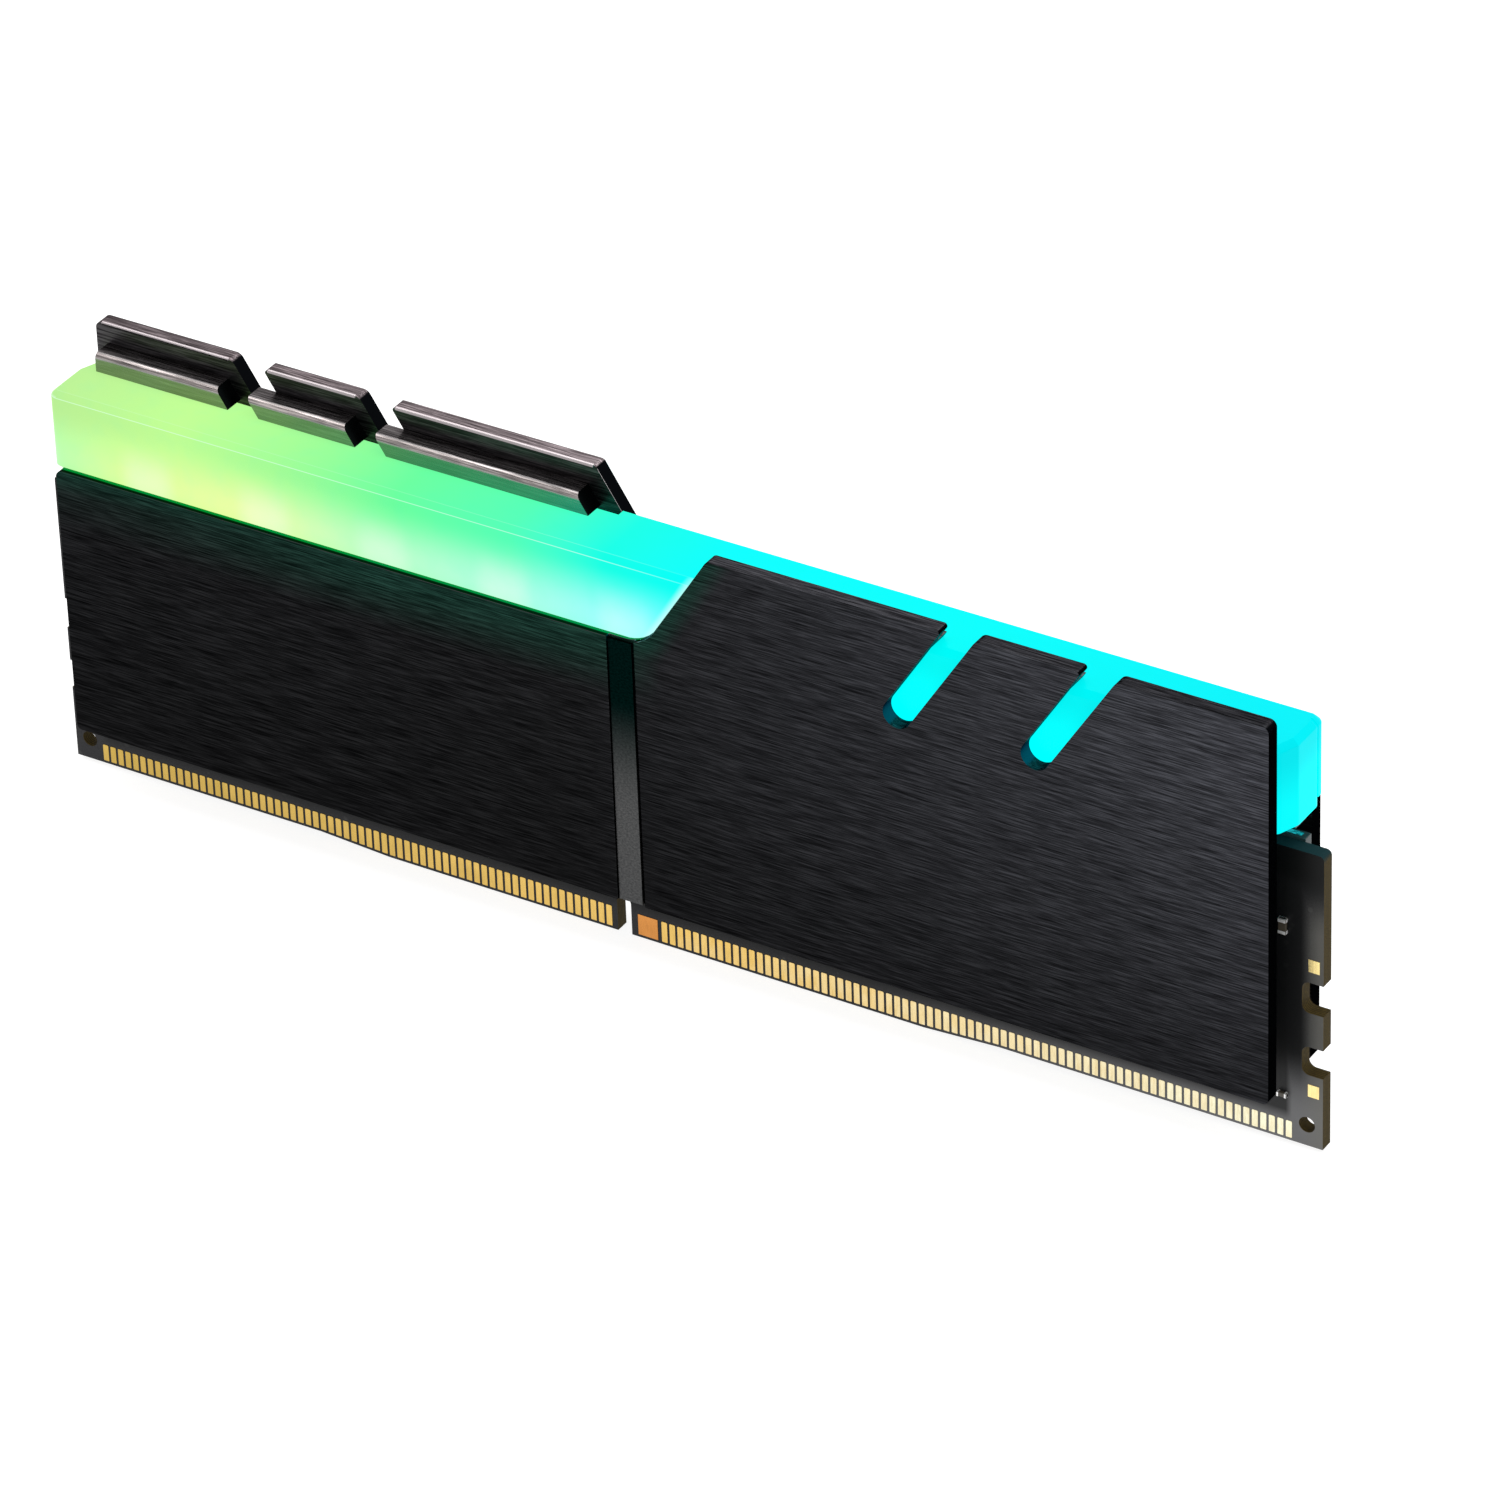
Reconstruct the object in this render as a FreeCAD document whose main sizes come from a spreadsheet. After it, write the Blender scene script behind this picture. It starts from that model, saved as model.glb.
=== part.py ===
import FreeCAD, Part

# Memory module: a 288-contact board between two stepped heat spreaders, with a glowing bar on top.
#
# Frame: X runs along the board, Y through its thickness and Z up. The origin is at the middle of the
# board's length and thickness, at the lowest point of its contact edge. The front face looks to -Y.
# The two spreaders share one design: the rear one is turned half round about Z, and stands a little taller.

import math
import os

import Sketcher
from FreeCAD import Placement, Rotation, Vector

doc = FreeCAD.newDocument("memory_module")
sheet = doc.addObject("Spreadsheet::Sheet", "Dimensions")
nodes = []

DIMENSIONS = {
    # board
    "board_length": 133.35,
    "board_height": 31.25,
    "board_thick": 1.4,
    "board_corner": 0.5,
    "edge_rise": 0.45,          # the outer contacts sit this much higher than the middle ones
    "left_ramp_start": 31.4,
    "left_ramp_end": 39.0,
    "right_ramp_start": 26.1,
    "right_ramp_end": 33.9,
    "key_centre": -5.575,
    "key_width": 1.5,
    "key_height": 4.0,
    "latch_depth": 2.1,
    "latch_round": 0.75,
    "low_latch_floor": 8.0,
    "low_latch_roof": 11.0,
    "high_latch_floor": 14.6,
    "high_latch_roof": 17.8,
    "hole_across": 65.1,
    "hole_up": 2.66,
    "hole_radius": 0.8,
    # gold contacts
    "contact_pitch": 0.85,
    "contact_width": 0.6,
    "contact_top": 2.5,
    "contact_margin": 0.3,
    "contact_thick": 0.04,
    "outer_contact": 63.325,
    "left_contacts": 67,
    "right_contacts": 77,
    "test_pad_width": 1.1,
    "test_pad_height": 1.3,
    "test_pad_across": 65.75,
    "low_test_pad_up": 6.4,
    "high_test_pad_up": 19.6,
    "copper_left": -4.1,
    "copper_right": -2.0,
    # heat spreader
    "spreader_half": 63.4,
    "spreader_floor": 6.6,
    "spreader_face": 4.7,       # outer face, from the middle of the board
    "spreader_thick": 1.5,
    "low_top": 34.85,
    "front_high_top": 45.7,
    "rear_high_top": 46.7,
    "front_step_foot": 0.3,     # where the slanted step starts, on the low top
    "rear_step_foot": 1.4,
    "slant": 0.645,             # sideways travel of the step and slots for each unit of height
    "step_round": 4.0,
    "step_top_round": 0.6,
    "end_round": 0.7,
    "front_slot_foot": 26.5,
    "rear_slot_foot": 25.6,
    "slot_spacing": 13.9,
    "slot_centre_up": 35.75,
    "slot_radius": 1.42,
    "rail_drop": 2.1,           # the inner rail stops this far below the high top
    "rail_thick": 2.1,
    "rail_start": 8.7,          # foot of the rail's slanted end
    "rail_inset": 1.2,          # the rail's square end stays this far inside the plate's end
    "front_rail_shift": 0.0,    # the gaps in the rail lie this much further out than the plate's slots
    "rear_rail_shift": 1.9,
    # accent strip
    "strip_left": -3.55,
    "strip_width": 2.5,
    "strip_gap": 0.35,
    "strip_channel": 0.5,
    "strip_thick": 0.3,
    # light bar
    "bar_half_length": 64.3,
    "bar_shoulder": 0.9,
    "bar_floor": 33.9,
    "bar_top": 42.7,
    "bar_ledge": 0.75,          # how far the bar reaches out over each spreader's low half
    "bar_edge": 0.6,
    "lip_depth": 1.0,
    "lip_front": -0.2,
    "lip_back": 1.9,
    "lip_half_length": 63.6,
    # memory chips and their thermal pads
    "chip_width": 8.0,
    "chip_height": 12.0,
    "chip_thick": 1.15,
    "chip_first": 11.0,
    "chip_spacing": 14.5,
    "chip_floor": 10.5,
    "thermal_half_length": 59.5,
    "thermal_floor": 10.0,
    "thermal_roof": 23.0,
    # small parts on the board
    "memory_rom_width": 3.0,
    "memory_rom_height": 2.0,
    "memory_rom_thick": 0.75,
    "memory_rom_up": 14.0,
    "controller_side": 4.0,
    "controller_thick": 0.85,
    "controller_up": 24.0,
    "small_long": 1.0,
    "small_wide": 0.5,
    "small_thick": 0.45,
    "decoupler_up": 13.0,
    "decoupler_step": 2.4,
    "resistor_up": 7.4,
    "resistor_step": 2.0,
    "end_part_across": 62.75,
    "large_long": 1.6,
    "large_wide": 0.8,
    "high_end_part_up": 22.3,
    "low_end_part_up": 5.05,
    "light_width": 3.0,
    "light_height": 1.6,
    "light_thick": 1.1,
    "light_rise": 0.3,
    "light_first": -53.5,
    "light_spacing": 12.9,
    "light_count": 10,
}

for row, (alias, number) in enumerate(DIMENSIONS.items(), start=1):
    sheet.set(f"A{row}", alias)
    sheet.set(f"B{row}", str(number))
    sheet.setAlias(f"B{row}", alias)
doc.recompute()


class Size:
    """A length with two faces: its number now, and the expression that keeps it bound to the sheet."""

    def __init__(self, value, text=None):
        self.value = float(value)
        self.text = repr(round(self.value, 6)) if text is None else text

    @staticmethod
    def of(other):
        return other if isinstance(other, Size) else Size(other)

    def __add__(self, other):
        other = Size.of(other)
        return Size(self.value + other.value, f"({self.text} + {other.text})")

    def __sub__(self, other):
        other = Size.of(other)
        return Size(self.value - other.value, f"({self.text} - {other.text})")

    def __mul__(self, other):
        other = Size.of(other)
        return Size(self.value * other.value, f"({self.text} * {other.text})")

    def __truediv__(self, other):
        other = Size.of(other)
        return Size(self.value / other.value, f"({self.text} / {other.text})")

    def __neg__(self):
        return Size(0) - self


def dim(alias):
    return Size(sheet.get(alias), f"Dimensions.{alias}")


def add_node(item, label):
    item.Label = label
    nodes.append(item)
    return item


# ---------------------------------------------------------------- sketches and features

def new_sketch(body, name, role, offset=0):
    """Sketch on one of the body's own origin planes, moved along that plane's normal."""
    sketch = body.newObject("Sketcher::SketchObject", name)
    plane = next(p for p in body.Origin.OriginFeatures if p.Role == role)
    sketch.AttachmentSupport = (plane, [""])
    sketch.MapMode = "FlatFace"
    sketch.setExpression("AttachmentOffset.Base.z", Size.of(offset).text)
    return sketch


def fix_point(sketch, name, edge, end, point):
    """Tie one end of an edge to the sketch's origin with two bound distances."""
    for kind, axis, size in (("DistanceX", "across", point[0]), ("DistanceY", "up", point[1])):
        size = Size.of(size)
        number = sketch.addConstraint(Sketcher.Constraint(kind, -1, 1, edge, end, size.value))
        sketch.renameConstraint(number, f"{name}_{axis}")
        sketch.setExpression(f"Constraints.{name}_{axis}", size.text)


def draw_outline(sketch, points):
    """Closed outline of straight edges through the points."""
    flat = [Vector(Size.of(x).value, Size.of(y).value, 0) for x, y in points]
    for start, end in zip(flat, flat[1:] + flat[:1]):
        sketch.addGeometry(Part.LineSegment(start, end))
    for edge in range(len(points)):
        sketch.addConstraint(Sketcher.Constraint("Coincident", edge, 2, (edge + 1) % len(points), 1))
        fix_point(sketch, f"corner{edge}", edge, 1, points[edge])


def draw_circle(sketch, centre, radius):
    middle = Vector(Size.of(centre[0]).value, Size.of(centre[1]).value, 0)
    edge = sketch.addGeometry(Part.Circle(middle, Vector(0, 0, 1), radius.value))
    number = sketch.addConstraint(Sketcher.Constraint("Radius", edge, radius.value))
    sketch.renameConstraint(number, f"radius{edge}")
    sketch.setExpression(f"Constraints.radius{edge}", radius.text)
    fix_point(sketch, f"centre{edge}", edge, 3, centre)


def pad(body, name, sketch, length, reverse=False):
    feature = body.newObject("PartDesign::Pad", name)
    feature.Profile = sketch
    feature.Reversed = reverse
    feature.setExpression("Length", Size.of(length).text)
    doc.recompute()
    return feature


def pocket(body, name, sketch, length, reverse=False):
    """Cut the sketch out of the body, and make sure that something was cut."""
    before = body.Shape.Volume
    feature = body.newObject("PartDesign::Pocket", name)
    feature.Profile = sketch
    feature.Reversed = reverse
    feature.setExpression("Length", Size.of(length).text)
    doc.recompute()
    if body.Shape.Volume >= before - 1e-6:
        raise RuntimeError(f"{body.Name}.{name} cuts nothing")
    return feature


def edges_along_y(shape, x, z):
    """Names of the edges that run through the thickness at one place in the XZ outline."""
    found = []
    for number, edge in enumerate(shape.Edges, start=1):
        if edge.BoundBox.XLength > 1e-6 or edge.BoundBox.ZLength > 1e-6:
            continue
        if math.hypot(edge.BoundBox.Center.x - x, edge.BoundBox.Center.z - z) < 1e-3:
            found.append(f"Edge{number}")
    return found


def round_corners(body, name, places, radius):
    """Fillet the edges that run through the thickness at the given places."""
    base = body.Tip
    names = []
    for x, z in places:
        names += edges_along_y(base.Shape, Size.of(x).value, Size.of(z).value)
    fillet = body.newObject("PartDesign::Fillet", name)
    fillet.Base = (base, names)
    fillet.setExpression("Radius", radius.text)
    doc.recompute()
    return fillet


# ---------------------------------------------------------------- board

def make_board():
    body = add_node(doc.addObject("PartDesign::Body", "pcb"), "pcb")
    half = dim("board_length") / 2
    top = dim("board_height")
    rise = dim("edge_rise")
    thick = dim("board_thick")
    outline = new_sketch(body, "board_outline", "XZ_Plane", -thick / 2)
    draw_outline(outline, [
        (-half, rise), (-dim("left_ramp_end"), rise), (-dim("left_ramp_start"), 0),
        (dim("right_ramp_start"), 0), (dim("right_ramp_end"), rise), (half, rise),
        (half, top), (-half, top)])
    pad(body, "board_blank", outline, thick)

    # The key is a slot with a round roof, so that a card can't go in the wrong way round.
    key_radius = dim("key_width") / 2
    key = new_sketch(body, "key_outline", "XZ_Plane", -thick / 2)
    left, right = dim("key_centre") - key_radius, dim("key_centre") + key_radius
    key_straight = dim("key_height") - key_radius
    draw_outline(key, [(left, -rise), (right, -rise), (right, key_straight), (left, key_straight)])
    pocket(body, "key_slot", key, thick, reverse=True)
    key_roof = new_sketch(body, "key_roof_outline", "XZ_Plane", -thick / 2)
    draw_circle(key_roof, (dim("key_centre"), key_straight), key_radius)
    pocket(body, "key_roof", key_roof, thick, reverse=True)

    latch_corners = []
    inner = half - dim("latch_depth")
    for level in ("low", "high"):
        floor, roof = dim(f"{level}_latch_floor"), dim(f"{level}_latch_roof")
        for side, name in ((-1, "left"), (1, "right")):
            notch = new_sketch(body, f"{level}_{name}_latch", "XZ_Plane", -thick / 2)
            deep, open_end = inner * side, (half + 1) * side
            draw_outline(notch, [(deep, floor), (open_end, floor), (open_end, roof), (deep, roof)])
            pocket(body, f"{level}_{name}_notch", notch, thick, reverse=True)
            latch_corners += [(deep, floor), (deep, roof)]
    round_corners(body, "latch_rounds", latch_corners, dim("latch_round"))
    round_corners(body, "board_rounds", [(-half, top), (half, top)], dim("board_corner"))

    holes = new_sketch(body, "hole_outline", "XZ_Plane", -thick / 2)
    for side in (-1, 1):
        draw_circle(holes, (dim("hole_across") * side, dim("hole_up")), dim("hole_radius"))
    pocket(body, "end_holes", holes, thick, reverse=True)


def edge_height(x):
    """Height of the board's contact edge at x: level in the middle, then a short ramp each side."""
    start, end = ("left_ramp_start", "left_ramp_end") if x < 0 else ("right_ramp_start", "right_ramp_end")
    start, end = dim(start).value, dim(end).value
    return dim("edge_rise").value * min(1.0, max(0.0, (abs(x) - start) / (end - start)))


def contact_places():
    pitch, outer = dim("contact_pitch").value, dim("outer_contact").value
    left = [-outer + pitch * step for step in range(int(dim("left_contacts").value))]
    right = [outer - pitch * step for step in range(int(dim("right_contacts").value))]
    return left + right[::-1]


def make_contacts(label, side):
    """One row of gold contacts on the board's face at that side: -1 is the front, 1 the rear."""
    width, thick = dim("contact_width").value, dim("contact_thick").value
    face = dim("board_thick").value / 2
    near = face if side > 0 else -face - thick
    pads = []
    for x in contact_places():
        low = edge_height(x) + dim("contact_margin").value
        pads.append(Part.makeBox(width, thick, dim("contact_top").value - low,
                                 Vector(x - width / 2, near, low)))
    row = add_node(doc.addObject("Part::Feature", label), label)
    row.Shape = Part.makeCompound(pads)


# ---------------------------------------------------------------- simple blocks on the board

def make_block(name, size, corner):
    """Box of three bound sizes with its lowest corner at a bound place."""
    block = doc.addObject("Part::Box", name)
    for side, length in zip(("Length", "Width", "Height"), size):
        block.setExpression(side, Size.of(length).text)
    for axis, place in zip("xyz", corner):
        block.setExpression(f"Placement.Base.{axis}", Size.of(place).text)
    return block


def on_face(name, side, centre_x, low_z, size):
    """Block that stands on the board's face at that side, centred on x."""
    width, thick, height = (Size.of(length) for length in size)
    face = dim("board_thick") / 2
    near = face if side > 0 else -face - thick
    return make_block(name, (width, thick, height), (Size.of(centre_x) - width / 2, near, low_z))


def make_group(label, blocks):
    group = add_node(doc.addObject("Part::Compound", label), label)
    group.Links = blocks


def chip_centres():
    """Four chips each side of the middle, left to right."""
    right = [dim("chip_first") + dim("chip_spacing") * step for step in range(4)]
    return [-x for x in reversed(right)] + right


def make_memory_chips():
    size = (dim("chip_width"), dim("chip_thick"), dim("chip_height"))
    for side, face in ((-1, "front"), (1, "rear")):
        for number, x in enumerate(chip_centres(), start=1):
            label = f"dram_{face}_{number}"
            add_node(on_face(label, side, x, dim("chip_floor"), size), label)


def make_small_parts():
    rom = (dim("memory_rom_width"), dim("memory_rom_thick"), dim("memory_rom_height"))
    add_node(on_face("spd_eeprom", -1, 0, dim("memory_rom_up"), rom), "spd_eeprom")
    controller = (dim("controller_side"), dim("controller_thick"), dim("controller_side"))
    add_node(on_face("led_controller", -1, 0, dim("controller_up"), controller), "led_controller")

    upright = (dim("small_wide"), dim("small_thick"), dim("small_long"))
    decouplers, resistors = [], []
    for side, face in ((-1, "front"), (1, "rear")):
        for chip, x in enumerate(chip_centres(), start=1):
            beside = x + (dim("chip_width") / 2 + dim("small_long")) * (1 if x.value > 0 else -1)
            for step in range(3):
                level = dim("decoupler_up") + dim("decoupler_step") * step
                decouplers.append(on_face(f"decoupler_{face}_{chip}_{step}", side, beside, level, upright))
            for step in (-1, 0, 1):
                place = x + dim("resistor_step") * step
                resistors.append(on_face(f"resistor_{face}_{chip}_{step + 2}", side, place,
                                         dim("resistor_up"), upright))
    across = dim("end_part_across")
    decouplers.append(on_face("high_end_capacitor", -1, across, dim("high_end_part_up"),
                              (dim("large_wide"), dim("small_thick"), dim("large_long"))))
    decouplers.append(on_face("low_end_capacitor", -1, across, dim("low_end_part_up"),
                              (dim("small_long"), dim("small_thick"), dim("small_wide"))))
    make_group("decoupling_capacitors", decouplers)
    make_group("series_resistors", resistors)

    size = (dim("light_width"), dim("light_thick"), dim("light_height"))
    low = dim("board_height") + dim("light_rise") - dim("light_height")
    for step in range(int(dim("light_count").value)):
        x = dim("light_first") + dim("light_spacing") * step
        add_node(on_face(f"led_{step + 1}", 1, x, low, size), f"led_{step + 1}")


def make_test_pads():
    """Bare gold pads at the board's right end, and the copper patch beside the key."""
    thick = dim("contact_thick")
    size = (dim("test_pad_width"), thick, dim("test_pad_height"))
    gold = []
    for level in ("low", "high"):
        low = dim(f"{level}_test_pad_up") - dim("test_pad_height") / 2
        gold.append(on_face(f"{level}_test_pad", -1, dim("test_pad_across"), low, size))
    make_group("test_pads", gold)
    width = dim("copper_right") - dim("copper_left")
    middle = dim("copper_left") + width / 2
    patch = (width, thick, dim("contact_top") - dim("contact_margin"))
    add_node(on_face("copper_patch", -1, middle, dim("contact_margin"), patch), "copper_patch")


def make_thermal_pads():
    """Soft pads that fill the space between the chips' faces and each spreader."""
    chip_face = dim("board_thick") / 2 + dim("chip_thick")
    inner_face = dim("spreader_face") - dim("spreader_thick")
    half = dim("thermal_half_length")
    size = (half * 2, inner_face - chip_face, dim("thermal_roof") - dim("thermal_floor"))
    for label, near in (("thermal_pad_front", -inner_face), ("thermal_pad_rear", chip_face)):
        add_node(make_block(label, size, (-half, near, dim("thermal_floor"))), label)


# ---------------------------------------------------------------- heat spreaders

def turn_round(item, turned):
    if turned:
        item.Placement = Placement(Vector(0, 0, 0), Rotation(Vector(0, 0, 1), 180))


def slanted_slot(centre, above):
    """Four corners of a slot that leans like the step, from its round foot's centre line up to above."""
    slant, centre_up = dim("slant"), dim("slot_centre_up")
    lean = math.hypot(1, slant.value)
    side_step = dim("slot_radius") * (1 / lean)
    side_drop = side_step * slant
    top = centre + (above - centre_up) * slant
    reach = dim("slot_radius") * lean
    return [(centre + side_step, centre_up - side_drop), (top + reach, above),
            (top - reach, above), (centre - side_step, centre_up + side_drop)]


def make_spreader(side, turned):
    """Stepped plate: low on its left half, high on its right, with an inner rail under the high top."""
    label = f"heatspreader_{side}"
    body = add_node(doc.addObject("PartDesign::Body", label), label)
    foot, high_top = dim(f"{side}_step_foot"), dim(f"{side}_high_top")
    inner_face = dim("spreader_face") - dim("spreader_thick")
    half, floor, low_top = dim("spreader_half"), dim("spreader_floor"), dim("low_top")
    crest = foot + (high_top - low_top) * dim("slant")
    outline = new_sketch(body, "plate_outline", "XZ_Plane", inner_face)
    draw_outline(outline, [(-half, floor), (half, floor), (half, high_top), (crest, high_top),
                           (foot, low_top), (-half, low_top)])
    pad(body, "plate", outline, dim("spreader_thick"))

    rail = new_sketch(body, "rail_outline", "XZ_Plane", inner_face)
    rail_top = high_top - dim("rail_drop")
    start, end = dim("rail_start"), half - dim("rail_inset")
    draw_outline(rail, [(start, dim("bar_top")), (end, dim("bar_top")), (end, rail_top),
                        (start + (rail_top - dim("bar_top")) * dim("slant"), rail_top)])
    pad(body, "rail", rail, dim("rail_thick"), reverse=True)

    # Two slanted slots, open at the top, each with a round foot, and a gap in the rail behind each.
    rail_face = inner_face - dim("rail_thick")
    for number in range(2):
        centre = dim(f"{side}_slot_foot") + dim("slot_spacing") * number
        slot = new_sketch(body, f"slot{number}_outline", "XZ_Plane", inner_face)
        draw_outline(slot, slanted_slot(centre, high_top + 1))
        pocket(body, f"slot{number}", slot, dim("spreader_thick"), reverse=True)
        slot_foot = new_sketch(body, f"slot{number}_foot_outline", "XZ_Plane", inner_face)
        draw_circle(slot_foot, (centre, dim("slot_centre_up")), dim("slot_radius"))
        pocket(body, f"slot{number}_foot", slot_foot, dim("spreader_thick"), reverse=True)
        gap = new_sketch(body, f"rail_gap{number}_outline", "XZ_Plane", rail_face)
        draw_outline(gap, slanted_slot(centre + dim(f"{side}_rail_shift"), high_top + 1))
        pocket(body, f"rail_gap{number}", gap, dim("rail_thick"), reverse=True)

    channel = new_sketch(body, "strip_channel_outline", "XZ_Plane", dim("spreader_face"))
    left = dim("strip_left")
    right = left + dim("strip_width") + dim("strip_gap")
    draw_outline(channel, [(left, floor - 1), (right, floor - 1), (right, low_top + 1), (left, low_top + 1)])
    pocket(body, "strip_channel", channel, dim("strip_channel"))

    round_corners(body, "step_foot_round", [(foot, low_top)], dim("step_round"))
    round_corners(body, "step_top_round", [(crest, high_top)], dim("step_top_round"))
    round_corners(body, "end_round", [(half, high_top), (-half, low_top)], dim("end_round"))
    turn_round(body, turned)


def make_strip(label, turned):
    """Metal strip that lies in the spreader's channel, a little below its face."""
    body = add_node(doc.addObject("PartDesign::Body", label), label)
    channel_floor = dim("spreader_face") - dim("strip_channel")
    left = dim("strip_left")
    right = left + dim("strip_width")
    floor, top = dim("spreader_floor"), dim("low_top") - dim("strip_gap")
    outline = new_sketch(body, "strip_outline", "XZ_Plane", channel_floor)
    draw_outline(outline, [(left, floor), (right, floor), (right, top), (left, top)])
    pad(body, "strip", outline, dim("strip_thick"))
    turn_round(body, turned)


# ---------------------------------------------------------------- light bar

def make_light_bar():
    """Diffuser held between the spreaders, with a ledge over each low half and a lip towards the board."""
    body = add_node(doc.addObject("PartDesign::Body", "light_bar"), "light_bar")
    deep = dim("spreader_face") - dim("spreader_thick")
    end, shoulder = dim("bar_half_length"), dim("bar_shoulder")
    plan = new_sketch(body, "bar_plan", "XY_Plane", dim("bar_floor"))
    draw_outline(plan, [
        (-end + shoulder / 2, -deep), (end - shoulder, -deep), (end, -deep + shoulder * 2.5),
        (end, deep - shoulder / 2), (end - shoulder / 2, deep), (-end + shoulder, deep),
        (-end, deep - shoulder * 2.5), (-end, -deep + shoulder / 2)])
    pad(body, "bar", plan, dim("bar_top") - dim("bar_floor"))

    # Over each spreader's low half the bar is deeper, and its ledge ends against the slanted step.
    low_top = dim("low_top")
    left = -end + shoulder
    for side, turn in (("front", 1), ("rear", -1)):
        foot = dim(f"{side}_step_foot")
        crest = foot + (dim("bar_top") - low_top) * dim("slant")
        ledge = new_sketch(body, f"{side}_ledge_outline", "XZ_Plane", deep * turn)
        draw_outline(ledge, [(left * turn, low_top), (foot * turn, low_top), (crest * turn, dim("bar_top")),
                             (left * turn, dim("bar_top"))])
        pad(body, f"{side}_ledge", ledge, dim("bar_ledge"), reverse=turn < 0)
        round_corners(body, f"{side}_ledge_round", [(foot * turn, low_top)], dim("step_round"))

    lip = new_sketch(body, "lip_plan", "XY_Plane", dim("bar_floor"))
    reach = dim("lip_half_length")
    draw_outline(lip, [(-reach, dim("lip_front")), (reach, dim("lip_front")),
                       (reach, dim("lip_back")), (-reach, dim("lip_back"))])
    pad(body, "lip", lip, dim("lip_depth"), reverse=True)

    base = body.Tip
    top = dim("bar_top").value
    rim = [f"Edge{number}" for number, edge in enumerate(base.Shape.Edges, start=1)
           if abs(edge.BoundBox.ZMin - top) < 1e-6]
    chamfer = body.newObject("PartDesign::Chamfer", "bar_edge")
    chamfer.Base = (base, rim)
    chamfer.setExpression("Size", dim("bar_edge").text)
    doc.recompute()


make_board()
make_contacts("contacts_front", -1)
make_contacts("contacts_rear", 1)
make_test_pads()
make_memory_chips()
make_small_parts()
make_thermal_pads()
make_spreader("front", turned=False)
make_spreader("rear", turned=True)
make_strip("accent_strip_front", turned=False)
make_strip("accent_strip_rear", turned=True)
make_light_bar()
doc.recompute()

for item in doc.Objects:
    if {"Invalid", "Error"} & set(item.State):
        raise RuntimeError(f"{item.Name} failed: {item.State}")
for node in nodes:
    if node.Shape.isNull() or not node.Shape.isValid() or not node.Shape.Solids:
        raise RuntimeError(f"{node.Label} has no sound solid")

os.makedirs("parts", exist_ok=True)
for node in nodes:
    node.Shape.exportStep(f"parts/{node.Label}.step")
    box = node.Shape.BoundBox
    print(f"{node.Label}: {len(node.Shape.Solids)} solids, {node.Shape.Volume:.2f} mm3, "
          f"{box.XLength:.2f} x {box.YLength:.2f} x {box.ZLength:.2f} mm")
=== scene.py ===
import math

import bmesh
import bpy
from mathutils import Euler, Matrix, Vector


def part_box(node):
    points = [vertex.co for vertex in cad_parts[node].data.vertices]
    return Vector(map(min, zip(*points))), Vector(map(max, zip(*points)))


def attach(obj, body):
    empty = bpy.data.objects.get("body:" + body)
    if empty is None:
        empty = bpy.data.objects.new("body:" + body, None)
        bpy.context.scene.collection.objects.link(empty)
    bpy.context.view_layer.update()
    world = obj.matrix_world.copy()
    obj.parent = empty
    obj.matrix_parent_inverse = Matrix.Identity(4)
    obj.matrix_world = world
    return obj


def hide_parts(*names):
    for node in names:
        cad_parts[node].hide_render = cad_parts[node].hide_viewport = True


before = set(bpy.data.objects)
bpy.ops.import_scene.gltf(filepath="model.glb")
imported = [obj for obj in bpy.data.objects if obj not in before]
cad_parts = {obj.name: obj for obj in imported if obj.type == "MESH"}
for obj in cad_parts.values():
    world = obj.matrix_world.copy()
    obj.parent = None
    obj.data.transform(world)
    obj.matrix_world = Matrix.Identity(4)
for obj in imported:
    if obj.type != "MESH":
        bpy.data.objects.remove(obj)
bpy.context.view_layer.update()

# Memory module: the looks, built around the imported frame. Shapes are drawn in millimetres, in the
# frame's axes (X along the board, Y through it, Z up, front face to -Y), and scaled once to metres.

MM = 0.001


def box_mm(node):
    low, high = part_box(node)
    return low / MM, high / MM


# ---------------------------------------------------------------- sizes

# Heights and the spreader's places across the module are given as seen from that spreader's own side.
SLANT = 0.645            # sideways travel of the step and slots for each unit of height
LEAN = math.hypot(1, SLANT)
LOW_TOP = 34.85
STEP_FOOT = {"front": 0.3, "rear": 1.4}
STEP_ROUND = 4.0
SLOT_FEET = {"front": (26.5, 40.4), "rear": (25.6, 39.5)}
SLOT_UP = 35.75
SLOT_RADIUS = 1.42
PLATE_THICK = 1.5
RAIL_START = 8.7
RAIL_DROP = 2.1
RAIL_INSET = 1.2
RAIL_OVERLAP = 0.1       # how far the rail reaches into the plate
RAIL_SHIFT = {"front": 0.0, "rear": 1.9}     # the rail's gaps lie this much further out than the slots
STRIP_LEFT, CHANNEL_RIGHT, CHANNEL_DEPTH = -3.55, -0.7, 0.5
BAR_LEDGE = 0.75         # how far the bar reaches out over each spreader's low half
BAR_SHOULDER = 0.9
BAR_CORNER, SHOULDER_CORNER = 1.1, 0.8
BAR_RIM = ((0.62, 0.0), (0.52, 0.05), (0.1, 0.47), (0.0, 0.6))      # (distance below the top, drawn in)
LEDGE_RISES = (0.02, 0.1, 0.25, 0.5, 0.9, 1.4, 1.9)                 # levels that follow the step's foot
STEP_GAP = 0.04          # between the ledge and the step, so they don't touch
LIP_HEIGHT, LIP_OVERLAP, LIP_INSET = 1.0, 0.3, 0.7
LIP_FRONT, LIP_BACK = -0.2, 1.9
BOARD_FACE = 0.7
CHIP_CENTRES = [side * (11.0 + 14.5 * step) for side in (-1, 1) for step in range(4)]
SMALL_PART = (0.5, 0.45, 1.0)                # width, thickness and height of a small upright part
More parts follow.
